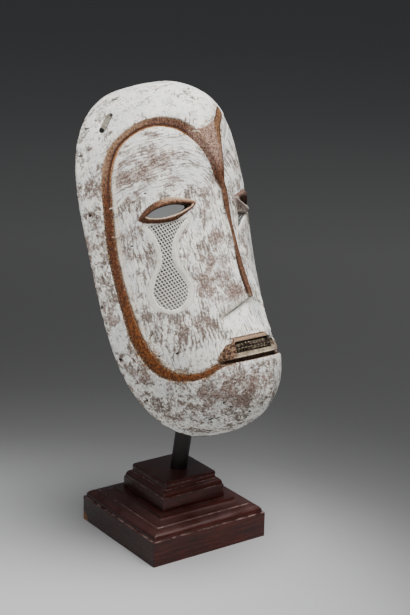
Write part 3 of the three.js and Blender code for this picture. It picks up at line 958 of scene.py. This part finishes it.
def tool_marks(nodes, spot):
    """The gouge's streaks: upright on the cheeks, in arcs over the forehead, and short on the border."""
    bent_u, bent_v, _ = nodes.parts(spot.bent)
    du, dv = bent_u - ARCH_MIDDLE[0], bent_v - ARCH_MIDDLE[1]
    out = nodes.math("SQRT", du * du + dv * dv)
    arcs = nodes.joined(out, nodes.math("ARCTAN2", dv, du) * 8.0)
    sway = spot.mottle * 7.0
    furrow = nodes.math("SINE", out * (2 * math.pi / FURROW) + sway)
    row = nodes.math("SINE", bent_u * (2 * math.pi / ROW) + sway)
    arch = nodes.noise(arcs, 0.5, 5, 0.72, 0.5) + furrow * spot.mottle.step(0.38, 0.6, 0.0, 0.07)
    cheeks = nodes.noise(nodes.stretched(spot.bent, 1, 0.16, 1), 0.5, 5, 0.72, 0.6)
    cheeks = cheeks + row * spot.mottle.step(0.4, 0.6) * spot.v.step(-78, -96, 0.05, 0.11)
    short = nodes.noise(nodes.stretched(spot.bent, 1, 0.5, 1), 0.3, 5, 0.7, 0.8)
    return spot.in_panel.between(short, spot.v.step(30, 56).between(cheeks, arch))


def chalk(nodes, spot, marks):
    """White chalk worn thin along the tool marks, down to bare wood where it is rubbed."""
    off_panel = spot.panel.step(0, 4)
    clean = spot.v.step(40, 110) * off_panel
    chin = spot.v.step(-136, -150) * off_panel
    broad = nodes.noise(spot.bent, 0.06, 4, 0.62)
    white = spot.blotch.step(0.4, 0.6).mix(rgb(232, 233, 229), rgb(252, 248, 238))
    white = spot.mottle.step(0.5, 0.68, 0, 0.55).mix(white, rgb(200, 196, 190))
    worn = spot.rubbed * 0.06 + spot.blotch * 0.2 - clean * 0.05 - 0.1
    worn = worn + broad.step(0.4, 0.62, -0.06, 0.07) - spot.lip * 0.09
    level = marks + worn
    colour = level.step(0.47, 0.55, 0, 0.8).mix(white, rgb(166, 158, 150))
    colour = level.step(0.55, 0.62, 0, 0.85).mix(colour, rgb(98, 82, 72))
    stain = spot.mottle * 0.5 + broad * 0.5 + spot.rubbed * 0.2 - clean * 0.08 - chin * 0.055
    stain = stain + spot.v.step(-76, -92, 0, -0.035) * spot.in_panel
    colour = stain.step(0.56, 0.68, 0, 0.62).mix(colour, rgb(176, 156, 146))
    rub = spot.crumb.step(0.4, 0.6).mix(rgb(150, 124, 112), rgb(84, 60, 50))
    colour = (stain.step(0.64, 0.76) * marks.step(0.4, 0.56, 0.35, 0.9)).mix(colour, rub)
    ring = stain.within(0.63, 0.66, 0.012) * spot.crumb.step(0.42, 0.58)
    colour = (ring * 0.6).mix(colour, rgb(88, 66, 54))
    crumbs = spot.crumb + worn * 0.8
    colour = crumbs.step(0.57, 0.63, 0, 0.7).mix(colour, rgb(96, 82, 74))
    dots = (chin * 0.05 + spot.speck).step(0.66, 0.7)
    colour = (dots * 0.85).mix(colour, rgb(52, 40, 34))
    bright = spot.crumb.step(0.4, 0.32) * worn.step(-0.06, 0.02)
    return (bright * 0.7).mix(colour, rgb(250, 247, 240))


def bare_band(nodes, spot):
    """Bare brown wood of the carved band: golden below, dusty tan at the arch with a painted shade in the
    crease.
    """
    streaks = nodes.noise(nodes.stretched(spot.place, 1, 0.4, 1), 0.75, 4, 0.7)
    mixed = streaks * 0.55 + spot.crumb * 0.45
    fine = mixed.step(0.41, 0.6)
    across = spot.roughened(spot.panel / (spot.panel - spot.border), 0.09)
    brown = fine.mix(rgb(44, 19, 8), rgb(108, 60, 28))
    golden = fine.mix(rgb(54, 24, 6), rgb(134, 76, 28))
    low = spot.v.step(-20, -90) * across.step(0.0, 0.5, 0.95, 0.7) * spot.u.step(-14, -24)
    brown = low.mix(brown, golden)
    crest = fine.mix(rgb(62, 36, 24), rgb(118, 82, 58))
    brown = (spot.u.step(-20, -12) * spot.v.step(60, 40)).mix(brown, crest)
    arch = spot.v.step(46, 90)
    left_arch = arch * spot.u.step(-48, -62) * across.step(0.3, 0.55)
    dusty = fine.mix(rgb(96, 68, 48), rgb(158, 126, 100))
    brown = (left_arch * 0.85).mix(brown, dusty)
    top = arch * spot.u.step(-64, -52) * spot.u.step(-12, -30)
    plum = fine.mix(rgb(64, 36, 24), rgb(128, 92, 74))
    brown = (top * 0.92).mix(brown, plum)
    inner = arch * across.step(0.24, 0.08) * spot.u.step(-8, -16)
    brown = (inner * 0.75).mix(brown, rgb(150, 96, 52))
    # painted shade: a dark line in the crease at the panel's foot along the arch
    crease = across.within(0.16, 0.36, 0.09) * spot.v.step(10, 60)
    brown = (crease * 0.85).mix(brown, rgb(52, 24, 10))
    triangle = spot.v.step(48, 84) * spot.u.step(-32, -20)
    dusted = mixed.step(0.42, 0.57).mix(rgb(92, 60, 44), rgb(170, 138, 122))
    dusted = spot.speck.step(0.57, 0.64, 0, 0.7).mix(dusted, rgb(222, 202, 184))
    brown = (triangle * 0.9).mix(brown, dusted)
    side = spot.v.step(60, 96) * spot.u.step(-4, 2)
    ochre = fine.mix(rgb(60, 34, 16), rgb(138, 98, 60))
    brown = (side * 0.9).mix(brown, ochre)
    rim = spot.crest.step(-2.4, -1.0) * spot.u.step(1.0, 3.0) * spot.v.step(25, 40)
    brown = (rim * 0.9).mix(brown, rgb(48, 24, 12))
    # painted shadow: a dark line under the border's lip along the band's outer edge on the left and below
    shade = spot.border.within(-2.0, 0.2, 0.4) * spot.v.step(60, 20)
    brown = (shade * 0.75).mix(brown, rgb(42, 20, 9))
    # painted highlight: pale flecks along the band's outer and inner edges
    rims = spot.border.step(-2.4, -0.6).largest(spot.panel.step(2.0, 0.4))
    highlight_flecks = spot.speck.step(0.56, 0.62) * rims * spot.u.step(-10, -20)
    return (highlight_flecks * 0.75).mix(brown, rgb(212, 176, 132))


def brown_dust(spot, colour):
    """Brown rubbed from the band over the chalk beside it, in crumbs that thin out away from it."""
    ochre = spot.speck.step(0.4, 0.6).mix(rgb(96, 60, 32), rgb(168, 128, 84))
    crest_top = spot.v.step(88, 100) * spot.u.step(26, 16)
    fringe = (spot.crumb - spot.crest * 0.016).step(0.43, 0.52) * spot.crest.step(16, 5)
    colour = (fringe * crest_top * 0.7).mix(colour, ochre)
    beside = (spot.crumb - spot.border * 0.03).step(0.44, 0.54) * spot.border.step(7, 1)
    beside = beside * spot.border.step(-1, 0) * spot.v.step(50, 80).largest(spot.v.step(-90, -125))
    colour = (beside * 0.6).mix(colour, ochre)
    inner = (spot.crumb + spot.panel * 0.035).step(0.4, 0.52) * spot.panel.step(-7, -1)
    inner = inner * spot.panel.step(1, 0) * spot.v.step(-85, -120) * spot.u.step(-38, -48)
    return (inner * 0.75).mix(colour, ochre)


def lid_colour(spot):
    """The lids: mottled brown, the upper dusty with a painted highlight on top, a pale rim along the slit's
    lower edge.
    """
    aside = abs(spot.u)
    above = (spot.v + aside * 0.1 - 31.0).step(-0.8, 0.8)
    across = spot.roughened(spot.slits / (spot.slits - spot.lids), 0.14)
    mottled = spot.crumb.step(0.4, 0.6)
    upper = mottled.mix(rgb(84, 52, 34), rgb(146, 106, 82))
    # dust with a painted highlight: a light cream along the upper lid's top edge
    dust_and_highlight = across.step(0.3, 0.9) * aside.step(72, 58) * spot.speck.step(0.4, 0.6, 0.5, 1)
    upper = (dust_and_highlight * 0.7).mix(upper, rgb(204, 180, 154))
    # painted shadow: a dark line along the slit's upper edge under the upper lid
    upper = across.step(0.36, 0.1, 0, 0.85).mix(upper, rgb(48, 28, 18))
    upper = aside.step(66, 76, 0, 0.7).mix(upper, rgb(62, 38, 24))
    lower = mottled.mix(rgb(52, 34, 22), rgb(98, 62, 42))
    lower = aside.step(56, 44, 0, 0.7).mix(lower, rgb(124, 80, 58))
    rim = across.within(0.04, 0.26, 0.08) * spot.speck.step(0.36, 0.5, 0.45, 1)
    lower = (rim * 0.85).mix(lower, rgb(214, 192, 168))
    shaded = above.mix(rgb(172, 158, 148), mottled.mix(rgb(62, 44, 38), rgb(116, 90, 80)))
    return spot.u.step(0, 10, 0, 0.9).mix(above.mix(lower, upper), shaded)


def block_edge(spot, block, rough):
    """Distance into the mouth or its opening from its edge, a little uneven."""
    u, v = spot.roughened(spot.u, rough), spot.roughened(spot.v, rough)
    corner = v.step(*MOUTH_CORNERS)
    left = corner * block["cut_left"] + block["left"]
    right = corner * -block["cut_right"] + block["right"]
    return (u - left).least(right - u, v - block["bottom"], block["top"] - v)


def mouth_colour(spot, colour):
    """Brown frame and lines round the mouth, a mottled lower lip, and pale teeth in the opening."""
    into = block_edge(spot, MOUTH, 0.7)
    frame = (spot.u.step(-36, -42) * 3.2 + into).step(-1.4, -0.2) * spot.front
    mottled = spot.crumb.step(0.42, 0.58).mix(rgb(52, 34, 24), rgb(142, 112, 88))
    colour = frame.mix(colour, mottled)
    inside = into.step(0.4, 1.4) * spot.front
    upper = inside * spot.v.step(-123.5, -122)
    colour = (upper * 0.65).mix(colour, rgb(176, 148, 122))
    height = spot.roughened(spot.v, 0.5)
    lower = inside * spot.u.step(-38, -32) * height.within(-138.3, -134.2, 0.5)
    lip = spot.crumb.step(0.42, 0.6).mix(rgb(178, 164, 142), rgb(112, 96, 78))
    colour = (lower * 0.92).mix(colour, lip)
    # painted highlight: a pale line along the lower lip's lower edge
    shine = inside * spot.u.step(-40, -34) * height.within(-138.9, -137.5, 0.35)
    colour = (shine * 0.85).mix(colour, rgb(226, 206, 182))
    # painted shade: a dark line under the lower lip, where it is undercut
    below = spot.u.within(-46, 34, 2.0) * height.within(-142.6, -139.3, 0.5) * spot.front
    colour = (below * 0.92).mix(colour, rgb(48, 28, 16))
    corner = inside * spot.u.step(11, 13)
    colour = (corner * 0.8).mix(colour, rgb(150, 134, 118))
    gap = block_edge(spot, MOUTH_OPEN, 0.5).step(-0.5, 0.4) * spot.u.step(13, 11) * spot.front
    tooth = off_nearest(spot.u, TOOTH_PITCH)
    rows = []
    for low, high in TOOTH_ROWS:
        tip = (tooth - spot.v.step(low, high, 1.25, 0.4)).step(-0.3, 0.3)
        rows.append(spot.v.within(low + 0.3, high - 0.3, 0.4) * tip)
    teeth = rows[0].largest(rows[1]) * spot.crumb.step(0.38, 0.58, 0.95, 0.4)
    return gap.mix(colour, teeth.mix(rgb(44, 34, 27), rgb(182, 166, 140)))


def tear_colour(spot, colour):
    """Crossed pale lines standing in the dark bed of a tear."""
    cell = lines_across(spot.u, spot.v, *HATCH_ACROSS).least(lines_across(spot.u, spot.v, *HATCH_DOWN))
    cell = cell.step(HATCH_LINE / 2 - 0.1, HATCH_LINE / 2 + 0.25)
    uncovered = spot.lids.step(0.1, 0.6) * spot.front
    margin = spot.tears.within(-1.0, 3.2, 0.5) * uncovered
    colour = (margin * 0.75).mix(colour, rgb(228, 222, 208))
    outline = spot.tears.within(3.2, 4.0, 0.35) * spot.v.step(16, 4) * spot.front
    colour = (outline * 0.3).mix(colour, rgb(150, 134, 120))
    lines = spot.u.step(0, 10).mix(rgb(232, 229, 220), rgb(166, 170, 170))
    colour = (spot.tears.step(-0.2, -0.8) * uncovered).mix(colour, lines)
    cut = cell * spot.tears.step(-0.7, -TEAR_MARGIN) * spot.lids.step(0.2, 0.8) * spot.front
    dark = spot.v.step(-40, -76).mix(rgb(50, 44, 40), rgb(104, 98, 90))
    pit = spot.crumb.step(0.44, 0.64).mix(dark, rgb(124, 116, 108))
    colour = cut.mix(colour, pit)
    socket = spot.u.within(20, 60, 3) * spot.v.within(9, 21, 2) * spot.lids.step(0, 0.5)
    socket = socket * spot.crumb.step(0.36, 0.5, 0.5, 0.9) * spot.front
    return socket.mix(colour, rgb(74, 56, 48))


def damage_and_nose_shade(spot, colour):
    """The forehead's slot, scratches, cracks and wormholes, and a painted shade under the nose."""
    worn = spot.crumb.step(0.4, 0.6).mix(rgb(84, 78, 68), rgb(152, 146, 132))
    colour = spot.slot.step(-0.8, -0.2, 0, 0.95).mix(colour, worn)
    colour = spot.slot_hole.step(SLOT_HOLE[1], SLOT_HOLE[1] - 0.6).mix(colour, rgb(16, 12, 10))
    scratch = spot.roughened(spot.scratches, 0.3).step(0.3, 1.0, 0.85, 0)
    colour = scratch.mix(colour, rgb(232, 216, 196))
    crack = spot.roughened(spot.cracks, 0.2).step(0.3, 0.8, 0.8, 0)
    colour = crack.mix(colour, rgb(70, 56, 48))
    # painted shade: a soft greenish grey below the nose's lower edge
    shade = spot.under_nose.within(-4.5, 2.5, 2.0) * spot.u.step(3, -6)
    colour = (shade * 0.6).mix(colour, rgb(168, 164, 146))
    limb = spot.limb.within(-9, 6.5, 2) * spot.v.step(-56, -64) * spot.v.step(-166, -158)
    limb = limb * spot.crumb.step(0.32, 0.5, 0.3, 1)
    colour = (limb * 0.75).mix(colour, rgb(132, 88, 64))
    hole = spot.pits.step(WORMHOLE_RADIUS - 0.2, WORMHOLE_RADIUS + 0.25, 1, 0)
    return (hole * spot.front).mix(colour, rgb(18, 13, 10))


def chalked_wood():
    """Brown wood whitened with chalk: streaked by the tool and rubbed, with bare brown carved lines."""
    material, nodes = new_material("chalked_wood")
    spot = Spot(nodes)
    marks = tool_marks(nodes, spot)
    colour = chalk(nodes, spot, marks)

    # painted highlight: a cream line along the sunk panel's edge
    rim = spot.roughened(spot.panel, 0.9).within(-2.2, 0.3, 0.5)
    rim = rim * spot.mottle.step(0.4, 0.56) * spot.crest.step(2, 6)
    colour = (rim * 0.7).mix(colour, rgb(238, 224, 202))

    ragged_panel = spot.ragged * spot.v.step(-80, -120) * 1.6 + spot.panel
    past_panel = spot.roughened(ragged_panel, 0.8).step(-0.6, 0.4)
    inside_border = spot.roughened(spot.border, 0.9).step(-0.6, 0.5, 1, 0)
    on_crest = spot.roughened(spot.crest, 0.45).step(-0.5, 0.4, 1, 0)
    faint = spot.u.within(18, 50, 4) * spot.v.step(84, 92) * 0.6
    right_middle = spot.u.step(-16, -12) * spot.v.step(66, 60) * spot.v.step(-95, -90)
    on_band = inside_border * (1.0 - faint.largest(right_middle))
    painted = on_band.largest(on_crest) * past_panel * spot.front
    colour = spot.front.mix(colour, brown_dust(spot, colour))
    colour = painted.mix(colour, bare_band(nodes, spot))
    colour = mouth_colour(spot, colour)
    on_lids = spot.roughened(spot.lids, 0.6).step(-0.7, 0.4, 1, 0) * spot.front
    colour = on_lids.mix(colour, lid_colour(spot))
    colour = spot.slits.step(-0.5, 0.1, 1, 0).mix(colour, rgb(40, 25, 17))
    colour = damage_and_nose_shade(spot, tear_colour(spot, colour))

    wood = spot.crumb.step(0.3, 0.7).mix(rgb(62, 40, 27), rgb(112, 80, 58))
    wood = spot.blotch.step(0.5, 0.65, 0, 0.35).mix(wood, rgb(150, 132, 116))
    nodes.coat(spot.front.mix(wood, colour), painted.step(0, 1, 0.88, 0.66), 0.25)
    nodes.emboss(marks * -1.0 - spot.crumb * 0.5, 0.8, 1.4)
    return material


# The stand's materials

def dark_mahogany():
    """Polished dark red-brown wood in four mitred lengths, with worn arrises, a little dust and painted
    light.
    """
    material, nodes = new_material("dark_mahogany")
    place = nodes.millimetres()
    x, y, z = nodes.parts(place)
    beside = abs(x) - abs(y)
    side = nodes.math("GREATER_THAN", beside, 0.0)
    lengthwise = nodes.joined(side.between(x, y) * 0.07, side.between(y, x), z)
    grain = nodes.noise(lengthwise, 0.35, 5, 0.65, 0.5)
    pores = nodes.noise(lengthwise, 1.6, 3, 0.6)
    blotch = nodes.noise(place, 0.03, 3)
    facing = nodes.parts(Value(nodes, nodes.add("ShaderNodeNewGeometry").outputs["Normal"]))
    colour = grain.step(0.3, 0.72).mix(rgb(34, 16, 14), rgb(52, 26, 23))
    lit_red = grain.step(0.3, 0.72).mix(rgb(44, 15, 11), rgb(80, 29, 19))
    # painted light: faces turned towards -y are coloured lighter and redder
    toward = facing[1].step(-0.2, -0.6) * blotch.step(0.35, 0.6, 0.35, 0.9)
    colour = toward.mix(colour, lit_red)
    colour = pores.step(0.6, 0.72, 0, 0.6).mix(colour, rgb(20, 9, 8))
    # painted light: faces turned upward are coloured lighter and redder
    upward = facing[2].step(0.25, 0.8)
    colour = (upward * 0.5).mix(colour, rgb(66, 27, 20))
    # dust on faces turned upward, partly a painted grey sheen of the lamp above
    dust_and_highlight = upward * blotch.step(0.35, 0.65, 0.04, 0.22)
    colour = dust_and_highlight.mix(colour, rgb(104, 80, 78))
    # worn arrises, partly a painted highlight along the mouldings' edges
    arrises = [z.within(height - 0.3, height + 0.3, 0.2) for height in ARRIS_WEAR_AND_HIGHLIGHTS]
    worn = arrises[0].largest(*arrises[1:]) * nodes.noise(place, 0.12, 5, 0.75).step(0.46, 0.6, 0.0, 0.7)
    colour = worn.mix(colour, rgb(146, 122, 116))
    colour = abs(beside).step(0.15, 0.45, 0.7, 0).mix(colour, rgb(14, 8, 7))
    chip = nodes.distance(place, CHIPPED_CORNER) + nodes.noise(place, 0.3, 4) * 9.0
    chip = chip.step(12.0, 16.5, 1, 0)
    colour = chip.mix(colour, rgb(128, 88, 58))
    fleck = nodes.noise(place, 0.5, 2).step(0.755, 0.775)
    colour = (fleck * 0.6).mix(colour, rgb(170, 140, 125))
    nodes.coat(colour, grain.step(0.3, 0.7, 0.2, 0.32) + dust_and_highlight * 0.6 + chip * 0.4, 0.35)
    nodes.emboss(grain - pores * 0.4, 0.25, 0.4)
    return material


def blackened_rod():
    """Dark stained rod with faint lengthwise streaks."""
    material, nodes = new_material("blackened_rod")
    streak = nodes.noise(nodes.stretched(nodes.millimetres(), 1, 1, 0.08), 0.5, 4)
    colour = streak.step(0.35, 0.7).mix(rgb(12, 6, 6), rgb(30, 16, 14))
    nodes.coat(colour, streak.step(0.3, 0.7, 0.45, 0.6), 0.5)
    return material


# Stage, light and camera

CAMERA_PLACE = Vector((-880.3, -1305.0, 740.5)) * MM
CAMERA_YAW, CAMERA_PITCH, CAMERA_ROLL = 35.16, 16.86, 1.12
FOCAL_PIXELS = 1500
PICTURE_HEIGHT = 615
SENSOR_HEIGHT = 36


def make_camera():
    yaw, pitch, roll = (math.radians(a) for a in (CAMERA_YAW, CAMERA_PITCH, CAMERA_ROLL))
    forward = Vector((math.sin(yaw) * math.cos(pitch), math.cos(yaw) * math.cos(pitch), -math.sin(pitch)))
    level = Vector((math.cos(yaw), -math.sin(yaw), 0))
    upright = level.cross(forward)
    right = level * math.cos(roll) + upright * math.sin(roll)
    up = upright * math.cos(roll) - level * math.sin(roll)
    data = bpy.data.cameras.new("camera")
    data.sensor_fit = "VERTICAL"
    data.sensor_height = SENSOR_HEIGHT
    data.lens = FOCAL_PIXELS / PICTURE_HEIGHT * SENSOR_HEIGHT
    data.clip_end = 50
    camera = add_object("camera", data)
    turn = Matrix((right, up, -forward)).transposed().to_4x4()
    camera.matrix_world = Matrix.Translation(CAMERA_PLACE) @ turn
    bpy.context.scene.camera = camera


def make_floor():
    """A pale floor painted with a pool of light that fades into shade, and a lit patch seen through the eye.
    """
    bm = bmesh.new()
    bmesh.ops.create_grid(bm, x_segments=1, y_segments=1, size=FLOOR_HALF)
    mesh = finished_mesh(bm, "floor")
    floor = add_object("floor", mesh)
    material, nodes = new_material("floor_painted_light")
    place = nodes.place()
    # painted pool of light: the floor's colour falls off into painted shade away from its lightest place
    ramp = nodes.add("ShaderNodeValToRGB", nodes.distance(place, (*FLOOR_LIGHT_POOL, 0)) / FLOOR_REACH)
    ramp.color_ramp.interpolation = "B_SPLINE"
    stops = ramp.color_ramp.elements
    while len(stops) < len(FLOOR_PAINTED_SHADES):
        stops.new(1)
    for stop, (reach, shade) in zip(stops, FLOOR_PAINTED_SHADES):
        stop.position = reach / FLOOR_REACH
        stop.color = (shade, shade, shade, 1)
    # painted light: a brighter patch of floor where it is seen through the eye's slit
    painted_glow = nodes.distance(place, (*PAINTED_GLOW, 0)).step(*PAINTED_GLOW_REACH, 1, 0)
    shade = painted_glow.mix(Value(nodes, ramp.outputs[0]), (PAINTED_GLOW_SHADE, PAINTED_GLOW_SHADE, PAINTED_GLOW_SHADE, 1))
    nodes.coat(shade, 0.7, 0.2)
    mesh.materials.append(material)


def soft_lamp(name, place, target, size, watts):
    data = bpy.data.lights.new(name, "AREA")
    data.shape = "DISK"
    data.size = size
    data.energy = watts
    turn = (Vector(target) - Vector(place)).to_track_quat("-Z", "Y").to_matrix().to_4x4()
    add_object(name, data).matrix_world = Matrix.Translation(place) @ turn


def light_studio():
    world = bpy.data.worlds.new("studio")
    bpy.context.scene.world = world
    world.use_nodes = True
    backdrop = world.node_tree.nodes["Background"]
    backdrop.inputs["Color"].default_value = rgb(*AIR_COLOUR)
    backdrop.inputs["Strength"].default_value = AIR_STRENGTH
    for lamp in LAMPS:
        soft_lamp(*lamp)


# The object

def dress(piece, node, material):
    """Puts a finished piece in the place of a node of the part."""
    piece.data.materials.append(material)
    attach(piece, "root")
    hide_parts(node)


make_camera()
make_floor()
light_studio()
mahogany = dark_mahogany()
dress(make_mask(), "mask", chalked_wood())
dress(square_block("lower_tier", lower_profile()), "base_lower", mahogany)
dress(square_block("upper_tier", upper_profile()), "base_upper", mahogany)
dress(make_rod(), "rod", blackened_rod())
